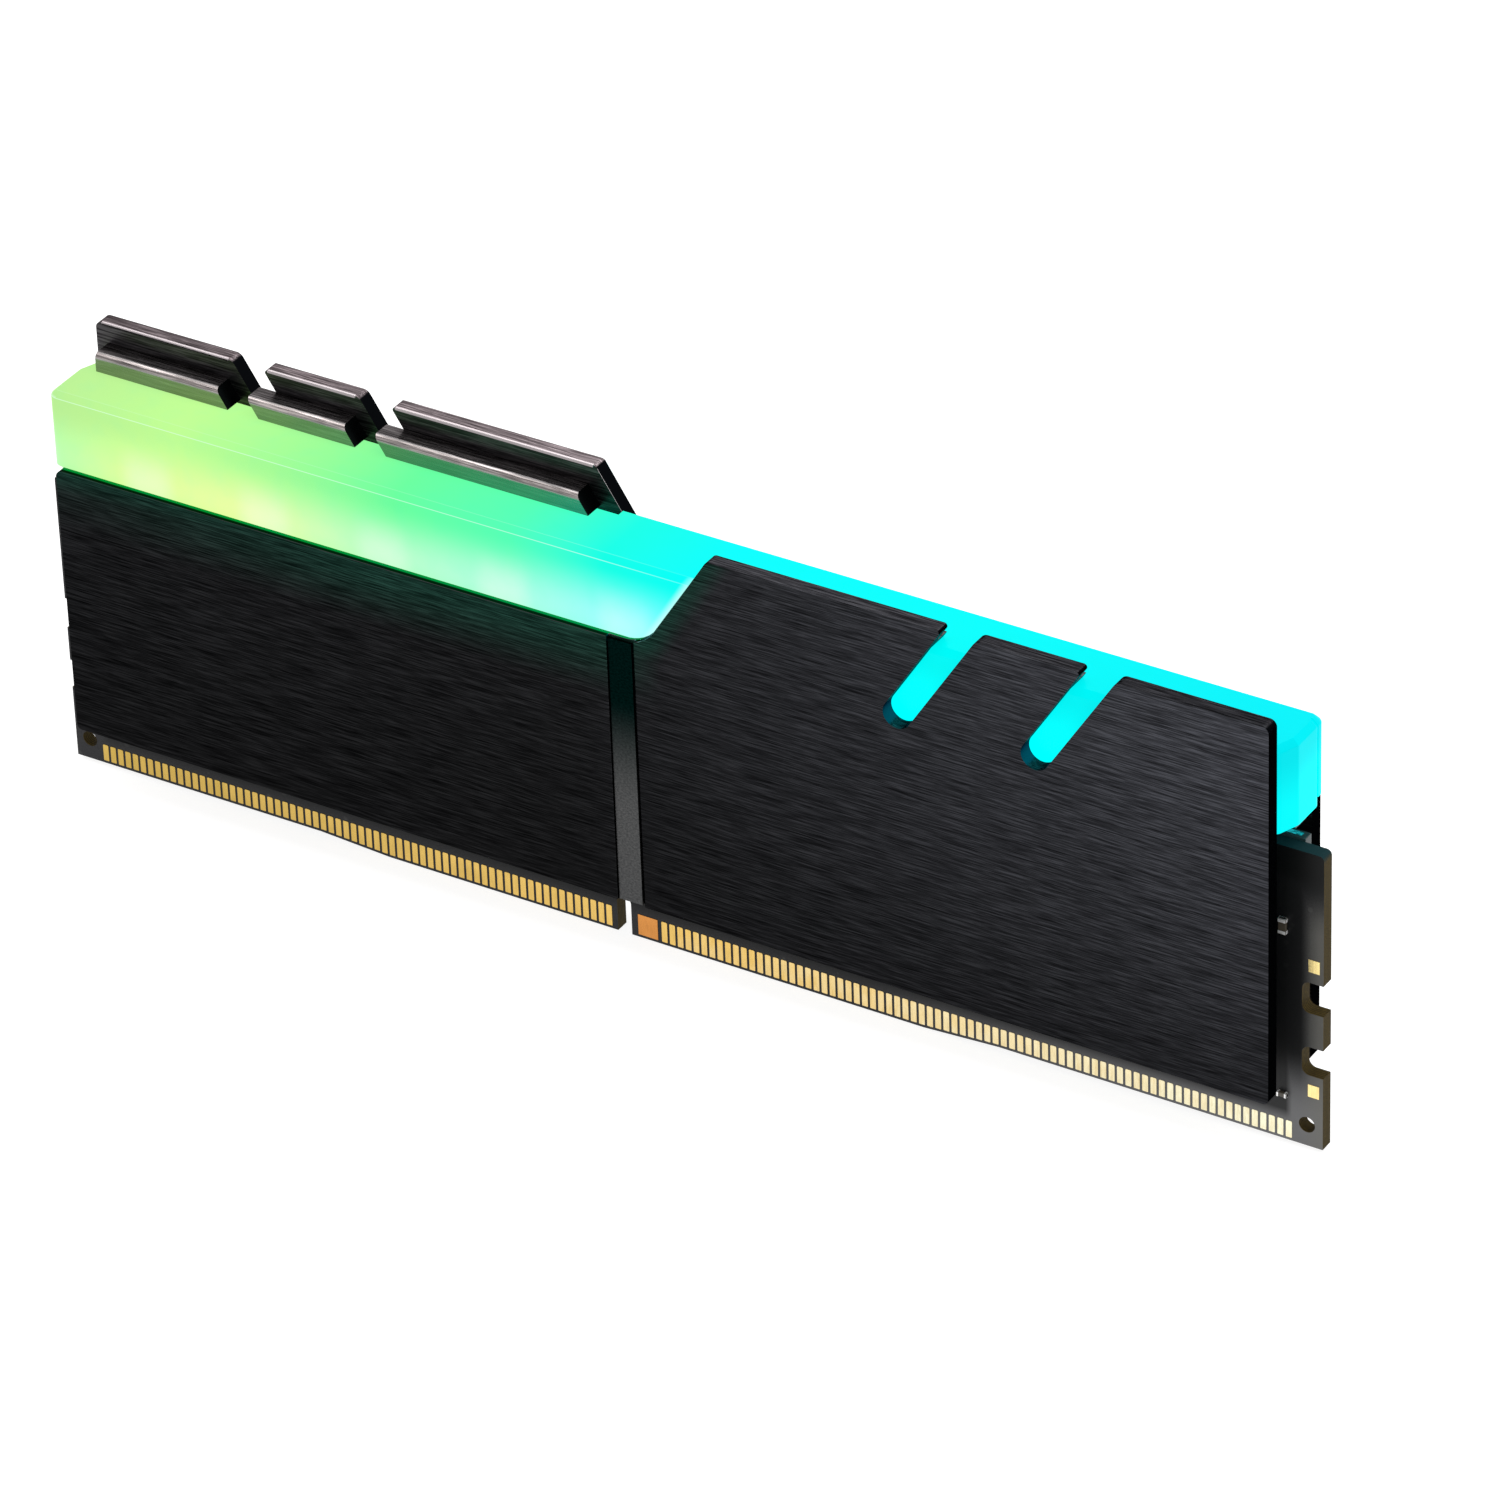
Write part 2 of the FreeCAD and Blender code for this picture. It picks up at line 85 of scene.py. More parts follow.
RIGHT_END_PARTS = [(62.75, 22.3, -1, (0.8, 0.45, 1.6)), (62.75, 5.05, -1, (1.0, 0.45, 0.5))]
DECOUPLER_FEET, BESIDE_CHIP = (13.0, 15.4, 17.8), 5.0
RESISTOR_FOOT, RESISTOR_SHIFTS = 7.4, (-2.0, 0.0, 2.0)
CONTACT_PITCH, CONTACT_WIDTH, OUTER_CONTACT = 0.85, 0.6, 63.325
LEFT_CONTACTS, RIGHT_CONTACTS = 67, 77
EDGE_RISE = 0.45         # the outer contacts sit this much higher than the middle ones
LEFT_RAMP, RIGHT_RAMP = (31.4, 39.0), (26.1, 33.9)


# ---------------------------------------------------------------- shape helpers

def add_piece(name, mesh_data, materials, slot, *nodes):
    """Scale the drawn millimetres to metres, and hang the piece on the frame."""
    mesh = bpy.data.meshes.new(name)
    bmesh.ops.recalc_face_normals(mesh_data, faces=mesh_data.faces)
    mesh_data.transform(Matrix.Scale(MM, 4))
    mesh_data.to_mesh(mesh)
    mesh_data.free()
    for material in materials:
        mesh.materials.append(material)
    mesh.polygons.foreach_set("use_smooth", [True] * len(mesh.polygons))
    mesh.set_sharp_from_angle(angle=math.radians(35))
    piece = bpy.data.objects.new(name, mesh)
    bpy.context.scene.collection.objects.link(piece)
    piece.modifiers.new("flat_faces", "WEIGHTED_NORMAL").keep_sharp = True
    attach(piece, "root")
    if nodes:
        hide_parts(*nodes)
    return piece


def rounded(corners, steps, inset=0.0):
    """Outline round (first, second, radius) corners. Arcs are drawn in by inset, sharp corners aren't."""
    points = []
    for number, (x, z, radius) in enumerate(corners):
        corner = Vector((x, z))
        if radius <= 0:
            points.append(corner)
            continue
        before = (Vector(corners[number - 1][:2]) - corner).normalized()
        after = (Vector(corners[(number + 1) % len(corners)][:2]) - corner).normalized()
        half_angle = before.angle(after) / 2
        centre = corner + (before + after).normalized() * (radius / math.sin(half_angle))
        start = corner + before * (radius / math.tan(half_angle)) - centre
        end = corner + after * (radius / math.tan(half_angle)) - centre
        turn = start.angle_signed(end)
        count = max(2, round(steps * abs(turn) / (math.pi / 2)))
        for step in range(count + 1):
            angle = -turn * step / count
            spun = Vector((start.x * math.cos(angle) - start.y * math.sin(angle),
                           start.x * math.sin(angle) + start.y * math.cos(angle)))
            points.append(centre + spun * (1 - inset / radius))
    return points


def skin(mesh_data, rings):
    """Close the surface through rings of vertices that all have the same number."""
    mesh_data.faces.new(rings[0])
    mesh_data.faces.new(list(reversed(rings[-1])))
    for near, far in zip(rings, rings[1:]):
        for i in range(len(near)):
            j = (i + 1) % len(near)
            mesh_data.faces.new((near[j], near[i], far[i], far[j]))


def prism(mesh_data, outline, near, far):
    """Solid between two copies of an (x, z) outline, at two places along Y."""
    skin(mesh_data, [[mesh_data.verts.new((x, depth, z)) for x, z in outline] for depth in (near, far)])


def stack(mesh_data, levels):
    """Solid through (z, outline) levels of (x, y) points."""
    skin(mesh_data, [[mesh_data.verts.new((*point, z)) for point in outline] for z, outline in levels])


def block(mesh_data, low, high):
    outline = [(low[0], low[2]), (high[0], low[2]), (high[0], high[2]), (low[0], high[2])]
    prism(mesh_data, outline, low[1], high[1])


def soften(mesh_data, width, segments, chosen=None):
    """Round the sharp edges, or only those that chosen() picks."""
    bmesh.ops.recalc_face_normals(mesh_data, faces=mesh_data.faces)
    edges = [e for e in mesh_data.edges if len(e.link_faces) == 2
             and e.calc_face_angle() > math.radians(25) and (chosen is None or chosen(e))]
    bmesh.ops.bevel(mesh_data, geom=edges, offset=width, segments=segments, profile=0.5,
                    affect="EDGES", clamp_overlap=False)


def turned(mesh_data):
    """Turn the drawing half round about Z, for the rear of the module."""
    mesh_data.transform(Matrix.Rotation(math.pi, 4, "Z"))


def cut(solid_data, cutter_data):
    """Solid minus cutter, as new mesh data."""
    bmesh.ops.recalc_face_normals(cutter_data, faces=cutter_data.faces)
    items = []
    for name, mesh_data in (("solid", solid_data), ("cutter", cutter_data)):
        mesh = bpy.data.meshes.new(name)
        mesh_data.to_mesh(mesh)
        mesh_data.free()
        item = bpy.data.objects.new(name, mesh)
        bpy.context.scene.collection.objects.link(item)
        items.append(item)
    solid, cutter = items
    difference = solid.modifiers.new("cut", "BOOLEAN")
    difference.operation = "DIFFERENCE"
    difference.solver = "EXACT"
    difference.object = cutter
    graph = bpy.context.evaluated_depsgraph_get()
    made = bmesh.new()
    made.from_mesh(solid.evaluated_get(graph).to_mesh())
    for mesh in [item.data for item in items]:
        bpy.data.meshes.remove(mesh)
    return made


def mark(mesh_data, number):
    """Give every face in a drawing one of the piece's materials."""
    for face in mesh_data.faces:
        face.material_index = number


def join(target, extra):
    """Move everything from one drawing into another."""
    carrier = bpy.data.meshes.new("carrier")
    extra.to_mesh(carrier)
    extra.free()
    target.from_mesh(carrier)
    bpy.data.meshes.remove(carrier)


# ---------------------------------------------------------------- material helpers

class Paint:
    """A procedural material: one Principled shader and the nodes that feed it."""

    def __init__(self, name, **values):
        self.material = bpy.data.materials.new(name)
        self.material.use_nodes = True
        self.tree = self.material.node_tree
        self.shader = self.tree.nodes["Principled BSDF"]
        for socket, value in values.items():
            self.shader.inputs[socket.replace("_", " ")].default_value = value

    def add(self, kind, inputs, **settings):
        node = self.tree.nodes.new(kind)
        for key, value in settings.items():
            setattr(node, key, value)
        for key, value in inputs.items():
            if isinstance(value, bpy.types.NodeSocket):
                self.tree.links.new(value, node.inputs[key])
            else:
                node.inputs[key].default_value = value
        return node

    def feed(self, socket, output):
        self.tree.links.new(output, self.shader.inputs[socket])

    def place(self, scale=(1, 1, 1)):
        """Position on the object, in millimetres times scale."""
        coordinates = self.tree.nodes.new("ShaderNodeTexCoord").outputs["Object"]
        stretched = [s / MM for s in scale]
        node = self.add("ShaderNodeVectorMath", {0: coordinates, 1: stretched}, operation="MULTIPLY")
        return node.outputs[0]

    def axis(self, name):
        split = self.add("ShaderNodeSeparateXYZ", {0: self.place()})
        return split.outputs[name]

    def facing(self, name):
        """Component of the surface's direction along one axis."""
        normal = self.tree.nodes.new("ShaderNodeNewGeometry").outputs["Normal"]
        return self.add("ShaderNodeSeparateXYZ", {0: normal}).outputs[name]

    def noise(self, scale, detail=2.0, roughness=0.5):
        inputs = {"Vector": self.place(scale), "Scale": 1.0, "Detail": detail, "Roughness": roughness}
        return self.add("ShaderNodeTexNoise", inputs).outputs["Fac"]

    def math(self, operation, a, b=0.0):
        return self.add("ShaderNodeMath", {0: a, 1: b}, operation=operation).outputs[0]

    def times(self, *factors):
        product = factors[0]
        for factor in factors[1:]:
            product = self.math("MULTIPLY", product, factor)
        return product

    def absolute(self, value):
        return self.math("ABSOLUTE", value)

    def span(self, value, low, high, to_low=0.0, to_high=1.0, smooth=False):
        """Map low..high to to_low..to_high, held at both ends."""
        node = self.add("ShaderNodeMapRange", {0: value, 1: low, 2: high, 3: to_low, 4: to_high},
                        interpolation_type="SMOOTHSTEP" if smooth else "LINEAR")
        return node.outputs[0]

    def ramp(self, value, stops):
        node = self.add("ShaderNodeValToRGB", {0: value})
        points = node.color_ramp.elements
        while len(points) < len(stops):
            points.new(0.5)
        for point, (position, colour) in zip(points, stops):
            point.position = position
            point.color = (*colour, 1.0)
        return node.outputs["Color"]

    def mix(self, factor, a, b):
        node = self.tree.nodes.new("ShaderNodeMix")
        node.data_type = "RGBA"
        for index, value in ((0, factor), (6, a), (7, b)):
            if isinstance(value, bpy.types.NodeSocket):
                self.tree.links.new(value, node.inputs[index])
            else:
                node.inputs[index].default_value = value if index == 0 else (*value, 1.0)
        return node.outputs[2]

    def bump(self, height, strength, depth_mm):
        inputs = {"Height": height, "Strength": strength, "Distance": depth_mm * MM}
        node = self.add("ShaderNodeBump", inputs)
        self.feed("Normal", node.outputs["Normal"])


def srgb(red, green, blue):
    """Linear colour of an 8-bit display colour."""
    def linear(value):
        value /= 255
        return value / 12.92 if value <= 0.04045 else ((value + 0.055) / 1.055) ** 2.4
    return (linear(red), linear(green), linear(blue))


# ---------------------------------------------------------------- materials

def streaks(paint):
    """Fine brushing along X: thin scratches a few millimetres long over softer, wider ones."""
    fine = paint.noise((0.2, 7.0, 7.0), 3.0, 0.75)
    soft = paint.noise((0.05, 1.0, 1.2), 2.0)
    return paint.math("ADD", paint.times(fine, 0.93), paint.times(soft, 0.07))


def shades(paint, grain, middle):
    """Streaked colour: dark and light scratches around a middle shade."""
    return paint.ramp(grain, [(0.36, tuple(c * 0.3 for c in middle)), (0.5, middle),
                              (0.65, tuple(c * 2.4 for c in middle))])


DARK_GRAZE = (0.3, 0.3, 0.3, 1.0)      # keeps dark metal dark when it is seen along its surface


def outer_face(paint, grain, across, height, from_step):
    """Painted shade, darkest at the low left, and a painted green reflection of the bar along the low top
    and the step.
    """
    # rise: painted shade, darkest low down at the left.
    rise = paint.times(paint.span(height, 6.6, 46.0, 0.25, 1.0), paint.span(across, -8.0, 62.0, 0.12, 1.0))
    painted_shade_face = paint.mix(rise, shades(paint, grain, (0.0062, 0.0062, 0.0064)),
                      shades(paint, grain, (0.034, 0.035, 0.041)))
    # Painted green reflection of the glowing bar along the low top and beside the step.
    low_top_glow_reflection = paint.times(paint.span(height, 28.0, 34.6, smooth=True), paint.span(across, 2.0, -2.0),
                           paint.span(across, -60.0, -30.0, 0.3, 1.0))
    step_glow_reflection = paint.times(paint.span(from_step, 3.0, 0.2, smooth=True), paint.span(height, 32.0, 35.0))
    painted_glow_reflection = paint.math("MAXIMUM", paint.times(low_top_glow_reflection, 0.65), paint.times(step_glow_reflection, 0.7))
    return paint.mix(painted_glow_reflection, painted_shade_face, shades(paint, grain, (0.006, 0.030, 0.021)))


def top_face(paint, grain, across, high_part, colour):
    """Painted highlight, streaked, on the high half; a painted dark green reflection of the bar on the low
    half, brighter beside the bar.
    """
    # lit: painted highlight on the top faces, dimmer towards the far end.
    lit = paint.mix(paint.span(across, 62.0, 12.0), shades(paint, grain, tuple(c * 0.5 for c in colour)),
                    shades(paint, grain, colour))
    # Painted green reflection of the bar on the low half's top, brightest beside the bar.
    bar_glow_on_top = paint.span(paint.absolute(paint.axis("Y")), 4.35, 4.2)
    return paint.mix(high_part, paint.mix(bar_glow_on_top, (0.001, 0.024, 0.012), (0.0, 0.3, 0.09)), lit)


def make_anodised(name, side, foot, top, outer_bevel_highlight, inner_bevel_highlight):
    """Black brushed aluminium, its painted shade, painted highlights and painted reflections of the bar
    worked out from where a point is and which way it faces.
    """
    paint = Paint(name, Metallic=1.0, Specular_Tint=DARK_GRAZE)
    grain = streaks(paint)
    across = paint.times(paint.axis("X"), -side)
    height = paint.axis("Z")
    outward = paint.times(paint.facing("Y"), side)
    upward = paint.facing("Z")
    from_step = paint.math("SUBTRACT", across, paint.times(height, SLANT))
    from_step = paint.math("SUBTRACT", from_step, foot - LOW_TOP * SLANT)
    high_part = paint.math("MAXIMUM", paint.span(height, 35.2, 35.8), paint.span(across, 4.0, 5.0))
    side_on = paint.span(paint.absolute(outward), 0.15, 0.3)
    before_end = paint.span(across, 60.0, 59.0)

    inner = shades(paint, grain, (0.036, 0.034, 0.036))
    faces = paint.mix(paint.span(outward, -0.2, 0.2), inner,
                      outer_face(paint, grain, across, height, from_step))
    # Painted shade: the side walls are dark, with a painted teal glow from the bar at the slot feet.
    slot_foot = paint.times(paint.span(height, 37.5, 36.0), paint.span(height, 34.0, 34.6), before_end)
    walls = paint.mix(slot_foot, (0.0045, 0.005, 0.006), (0.0, 0.075, 0.11))
    faces = paint.mix(side_on, walls, faces)
    faces = paint.mix(paint.span(upward, 0.75, 0.9), faces, top_face(paint, grain, across, high_part, top))

    # edges: painted highlights on the edge bevels; on the low half the inner bevel gets a painted green
    # reflection of the bar.
    bevel = paint.times(paint.span(upward, 0.2, 0.4), paint.span(upward, 0.97, 0.9), side_on)
    inner_bevel_reflection = paint.mix(high_part, (0.04, 0.5, 0.16), inner_bevel_highlight)
    edges = paint.mix(paint.span(outward, -0.1, 0.1), inner_bevel_reflection, outer_bevel_highlight)
    # glint: a painted cyan highlight on the bevel beside the step.
    step_side = paint.times(paint.facing("X"), side, outward)
    glint = paint.times(paint.span(step_side, 0.15, 0.3), paint.span(from_step, 3.5, 2.0))
    edges = paint.mix(glint, edges, (0.3, 0.85, 0.8))
    # Painted teal glint along the bevel of each slot's left wall.
    slot_edge_glint = paint.times(paint.span(step_side, -0.15, -0.3), paint.span(height, 35.5, 37.0), before_end,
                            paint.span(outward, 0.0, 0.1))
    paint.feed("Base Color", paint.mix(slot_edge_glint, paint.mix(bevel, faces, edges), (0.1, 0.42, 0.38)))
    paint.feed("Roughness", paint.span(grain, 0.35, 0.65, 0.28, 0.42))
    paint.bump(grain, 0.2, 0.015)
    return paint.material


def make_rail_paint():
    """The inner rails are smoother and painted lighter, so the bar shows brighter in them; their tops stay
    streaky, their rounded edges carry a painted highlight and their ends a painted shade.
    """
    paint = Paint("rail_paint", Metallic=1.0, Specular_Tint=DARK_GRAZE)
    grain = streaks(paint)
    upward = paint.facing("Z")
    face = shades(paint, paint.span(grain, 0.0, 1.0, 0.42, 0.58), (0.26, 0.26, 0.255))
    top = shades(paint, grain, (0.12, 0.11, 0.112))
    colour = paint.mix(paint.span(upward, 0.9, 0.98), face, top)
    # rounding: painted highlight on the rounded edge.
    rounding = paint.times(paint.span(upward, 0.2, 0.45), paint.span(upward, 0.97, 0.9))
    colour = paint.mix(rounding, colour, shades(paint, grain, (0.26, 0.23, 0.225)))
    # ends: painted shade on the end faces.
    ends = paint.span(paint.absolute(paint.facing("X")), 0.4, 0.6)
    paint.feed("Base Color", paint.mix(ends, colour, (0.006, 0.008, 0.008)))
    paint.feed("Roughness", paint.span(grain, 0.35, 0.65, 0.24, 0.32))
    return paint.material


def make_strip_paint():
    """Satin grey metal with a fine grain, deep black towards its top."""
    paint = Paint("strip_paint", Metallic=1.0, Roughness=0.42, Specular_Tint=DARK_GRAZE)
    grain = paint.noise((4.0, 4.0, 5.5), 3.0, 0.6)
    grey = paint.ramp(grain, [(0.35, (0.048, 0.049, 0.050)), (0.65, (0.088, 0.088, 0.088))])
    deep = paint.ramp(grain, [(0.35, (0.0004, 0.004, 0.0035)), (0.65, (0.001, 0.009, 0.008))])
    paint.feed("Base Color", paint.mix(paint.span(paint.axis("Z"), 16.0, 28.5, smooth=True), grey, deep))
    paint.bump(grain, 0.2, 0.02)
    return paint.material


def solder_mask(paint):
    """Satin black with faint vias, lit low down and at the right end, in shadow under the other parts."""
    across, height = paint.axis("X"), paint.axis("Z")
    out = paint.absolute(across)
    mask = paint.ramp(paint.noise((9.0, 9.0, 9.0), 3.0), [(0.3, srgb(26, 26, 27)), (0.7, srgb(40, 40, 42))])
    spots = paint.add("ShaderNodeTexVoronoi", {"Vector": paint.place((0.55, 0.0, 0.55)), "Scale": 1.0})
    via = paint.span(spots.outputs["Distance"], 0.16, 0.12)
    mask = paint.mix(paint.times(via, 0.25), mask, srgb(78, 78, 76))
    low_light = paint.times(paint.span(height, 11.0, 3.0, smooth=True), paint.span(across, 20.0, 60.0))
    mask = paint.mix(paint.times(low_light, 0.75), mask, srgb(106, 106, 107))
    end_light = paint.times(paint.span(across, 64.4, 66.2), paint.span(height, 27.5, 23.0))
    mask = paint.mix(paint.times(end_light, 0.55), mask, srgb(96, 95, 90))
    beside_plate = paint.times(paint.span(out, 65.4, 64.4), paint.span(height, 6.0, 10.0))
    under_bar = paint.span(height, 24.0, 29.0, smooth=True)
    under_plate = paint.times(paint.span(out, 63.6, 63.0), paint.span(height, 2.5, 3.6))
    shadow = paint.math("MAXIMUM", paint.times(beside_plate, 0.8), paint.times(under_bar, 0.95))
    shadow = paint.math("MAXIMUM", shadow, paint.times(under_plate, 0.85))
    return paint.mix(shadow, mask, (0.0012, 0.0015, 0.0015))


def laminate(paint):
    """Brown glass-fibre layers, with a painted dark teal glow from the bar along the top under the bar."""
    layers = paint.math("SINE", paint.times(paint.axis("Y"), 27.0))
    fibres = paint.math("ADD", paint.times(layers, 0.2), paint.noise((6.0, 14.0, 6.0), 3.0))
    brown = paint.ramp(fibres, [(0.3, srgb(30, 23, 4)), (0.6, srgb(54, 43, 8)), (0.9, srgb(80, 66, 20))])
    # Painted teal glow from the bar along the board's top edge.
    return paint.mix(paint.span(paint.axis("Z"), 30.6, 31.1), brown, (0.0005, 0.016, 0.019))


def make_board_paint():
    """Solder mask on the faces, and bare laminate on the cut edges."""
    paint = Paint("board_paint", Specular_IOR_Level=0.15)
    flat = paint.span(paint.absolute(paint.facing("Y")), 0.5, 0.8)
    paint.feed("Base Color", paint.mix(flat, laminate(paint), solder_mask(paint)))
    paint.feed("Roughness", paint.span(flat, 0.0, 1.0, 0.75, 0.4))
    paint.bump(paint.noise((14.0, 14.0, 14.0), 2.0), 0.15, 0.02)
    return paint.material


def make_gold(name, left, middle, right):
    """Plated pads with fine wiping marks, and painted light: paler towards the board's right end."""
    paint = Paint(name, Metallic=1.0)
    marks = paint.noise((5.0, 2.0, 0.8), 2.0)
    patches = paint.noise((0.7, 1.0, 0.5), 2.0)
    # Painted light: the pads are paler towards the board's right end.
    shift = paint.math("ADD", paint.span(paint.axis("X"), -66.0, 66.0),
                       paint.times(paint.math("SUBTRACT", patches, 0.5), 0.35))
    plate = paint.ramp(shift, [(0.0, left), (0.5, middle), (1.0, right)])
    worn = paint.span(marks, 0.45, 0.7, 0.0, 0.25)
    paint.feed("Base Color", paint.mix(worn, plate, tuple(c * 0.6 for c in middle)))
    paint.feed("Roughness", paint.span(marks, 0.3, 0.7, 0.22, 0.38))
    paint.bump(marks, 0.1, 0.01)
    return paint.material


def make_moulded(name, colour, roughness, grain=12.0):
    """Moulded or fired small part: one colour broken by a fine grain."""
    paint = Paint(name, Roughness=roughness)
    speckle = paint.noise((grain, grain, grain), 3.0)
    paint.feed("Base Color", paint.ramp(speckle, [(0.3, tuple(c * 0.7 for c in colour)), (0.7, colour)]))
    paint.bump(speckle, 0.3, 0.02)
    return paint.material


def make_solder(name):
    paint = Paint(name, Metallic=0.6, Roughness=0.3)
    speckle = paint.noise((3.0, 3.0, 3.0), 2.0)
    paint.feed("Base Color", paint.ramp(speckle, [(0.3, (0.7, 0.7, 0.7)), (0.7, (0.88, 0.88, 0.87))]))
    return paint.material


def bar_colour(paint, low, high):
    """Yellow-green at the left end, through green, to cyan at the right; brighter low down."""
    along = paint.span(paint.axis("X"), low.x, high.x)

    def at(x):
        return (x - low.x) / (high.x - low.x)
    upper = paint.ramp(along, [
        (0.0, srgb(176, 226, 140)), (at(-50), srgb(182, 240, 140)), (at(-38), srgb(152, 238, 142)),
        (at(-26), srgb(100, 240, 150)), (at(-14), srgb(80, 248, 172)), (at(-4), srgb(20, 250, 216)),
        (at(6), srgb(0, 246, 238)), (1.0, srgb(0, 226, 234))])
    lower = paint.ramp(along, [
        (0.0, srgb(176, 246, 170)), (at(-56), srgb(212, 254, 150)), (at(-42), srgb(224, 254, 158)),
        (at(-30), srgb(180, 254, 186)), (at(-14), srgb(164, 254, 214)), (at(0), srgb(140, 254, 250)),
        (at(8), srgb(0, 254, 254)), (1.0, srgb(0, 254, 254))])
    return paint.mix(paint.span(paint.axis("Z"), high.z - 1.0, high.z - 7.0, smooth=True), upper, lower)


def hot_spots(paint, high):
    """Strength of the pale patch in front of each light source."""
    first, second = box_mm("led_1"), box_mm("led_2")
    centre = (first[0].x + first[1].x) / 2
    turns = 2 * math.pi / (second[0].x - first[0].x)
    wave = paint.math("COSINE", paint.times(paint.math("SUBTRACT", paint.axis("X"), centre), turns))
    return paint.times(paint.span(wave, -0.2, 1.0, smooth=True),
                       paint.span(paint.axis("Z"), high.z - 2.5, high.z - 7.0, smooth=True), 0.3)


def edge_highlights(paint):
    """Strength of the two thin painted highlight lines, one along each side of the bar's top chamfer."""
    upward = paint.facing("Z")
    off_chamfer = paint.times(paint.absolute(paint.math("SUBTRACT", upward, 0.7)), 2.0)
    edge = paint.times(paint.span(upward, 0.1, 0.3), paint.span(upward, 0.99, 0.95))
    return paint.times(paint.span(off_chamfer, 0.12, 0.3), edge, 0.5)


def front_step_glint(paint):
    """Strength of the painted highlight along the front spreader's step."""
    from_step = paint.math("SUBTRACT", paint.axis("X"), paint.times(paint.axis("Z"), SLANT))
    step_line = STEP_FOOT["front"] - LOW_TOP * SLANT
    return paint.times(paint.span(from_step, step_line - 1.0, step_line, smooth=True),
                       paint.span(paint.facing("Y"), -0.5, -0.9),
                       paint.span(paint.axis("Y"), -3.3, -3.4), 0.65)


def make_glow():
    """Milky diffuser, lit from below by the row of light sources."""
    paint = Paint("glow", Roughness=0.3, IOR=1.12, Specular_IOR_Level=0.2, Emission_Strength=1.0)
    low, high = box_mm("light_bar")
    left_half = paint.span(paint.axis("X"), 8.0, -6.0)
    glow = bar_colour(paint, low, high)
    glow = paint.mix(paint.times(hot_spots(paint, high), left_half), glow, srgb(240, 255, 236))
    milk = paint.span(paint.noise((0.5, 0.5, 0.5), 2.0), 0.45, 0.8, 0.0, 0.12)
    glow = paint.mix(milk, glow, paint.mix(0.5, glow, (0.0, 0.7, 0.5)))
    # Painted shade on the shoulder facet at the bar's right end.
    shoulder_shade = paint.times(paint.span(paint.facing("Y"), -0.15, -0.3),
                           paint.span(paint.facing("X"), 0.3, 0.6))
    glow = paint.mix(paint.times(shoulder_shade, 0.25), glow, srgb(0, 190, 200))
    glow = paint.mix(paint.times(edge_highlights(paint), left_half), glow, srgb(225, 255, 240))
    glow = paint.mix(front_step_glint(paint), glow, srgb(215, 255, 250))
    paint.feed("Emission Color", glow)
    paint.feed("Base Color", paint.mix(0.9, glow, (0.0, 0.0, 0.0)))
    return paint.material


def make_lip_paint():
    """The diffuser's lip sits in shadow between the plates, and only passes a little teal light."""
    paint = Paint("lip_paint", Roughness=0.3, Emission_Strength=1.0)
    speckle = paint.noise((1.5, 1.5, 1.5), 2.0)
    body = paint.ramp(speckle, [(0.3, (0.002, 0.02, 0.022)), (0.7, (0.004, 0.04, 0.043))])
    light = paint.ramp(speckle, [(0.3, (0.0, 0.02, 0.024)), (0.7, (0.0, 0.05, 0.055))])
    paint.feed("Base Color", body)
    paint.feed("Emission Color", light)
    return paint.material


def make_lens_paint():
    """Epoxy lens, lit teal from inside."""
    paint = Paint("lens_paint", Roughness=0.12, Emission_Strength=0.9)
    swirl = paint.noise((2.5, 2.5, 2.5), 2.0)
    body = paint.ramp(swirl, [(0.3, (0.02, 0.2, 0.22)), (0.7, (0.05, 0.35, 0.38))])
    light = paint.ramp(swirl, [(0.35, (0.0, 0.12, 0.14)), (0.65, (0.02, 0.6, 0.66))])
    paint.feed("Base Color", body)
    paint.feed("Emission Color", light)
    return paint.material


# ---------------------------------------------------------------- heat spreaders

def slot_side(foot, side, height):
    """X of one wall of a slanted slot at a height; side is -1 for its left wall, 1 for its right."""
    return foot + (height - SLOT_UP) * SLANT + side * SLOT_RADIUS * LEAN


def plate_corners(side, half, floor, top):
    """The plate's outline from its lower left corner, counter-clockwise, as (x, z, radius)."""
    corners = [(-half, floor, 0.5), (half, floor, 0.5), (half, top, 0.7)]
    along = Vector((SLANT, 1)) / LEAN * SLOT_RADIUS
    across = Vector((1, -SLANT)) / LEAN * SLOT_RADIUS
    for slot_foot in reversed(SLOT_FEET[side]):
        centre = Vector((slot_foot, SLOT_UP))
        corners += [(slot_side(slot_foot, 1, top), top, 0.9),
                    (*(centre + across - along), SLOT_RADIUS * 0.995),
                    (*(centre - across - along), SLOT_RADIUS * 0.995),
                    (slot_side(slot_foot, -1, top), top, 0.3)]
    foot = STEP_FOOT[side]
    crest = foot + (top - LOW_TOP) * SLANT
    return corners + [(crest, top, 0.6), (foot, LOW_TOP, STEP_ROUND), (-half, LOW_TOP, 0.7)]


def rail_piece(mesh_data, ends, floor, top, inner, face):
    """One length of the inner rail between two (x, slant) ends, its inner top edge well rounded."""
    profile = rounded([(inner, floor, 0), (face, floor, 0), (face, top, 0), (inner, top, 0.6)], 8)
    skin(mesh_data, [[mesh_data.verts.new((x + (z - floor) * slant, y, z)) for y, z in profile]
                     for x, slant in ends])


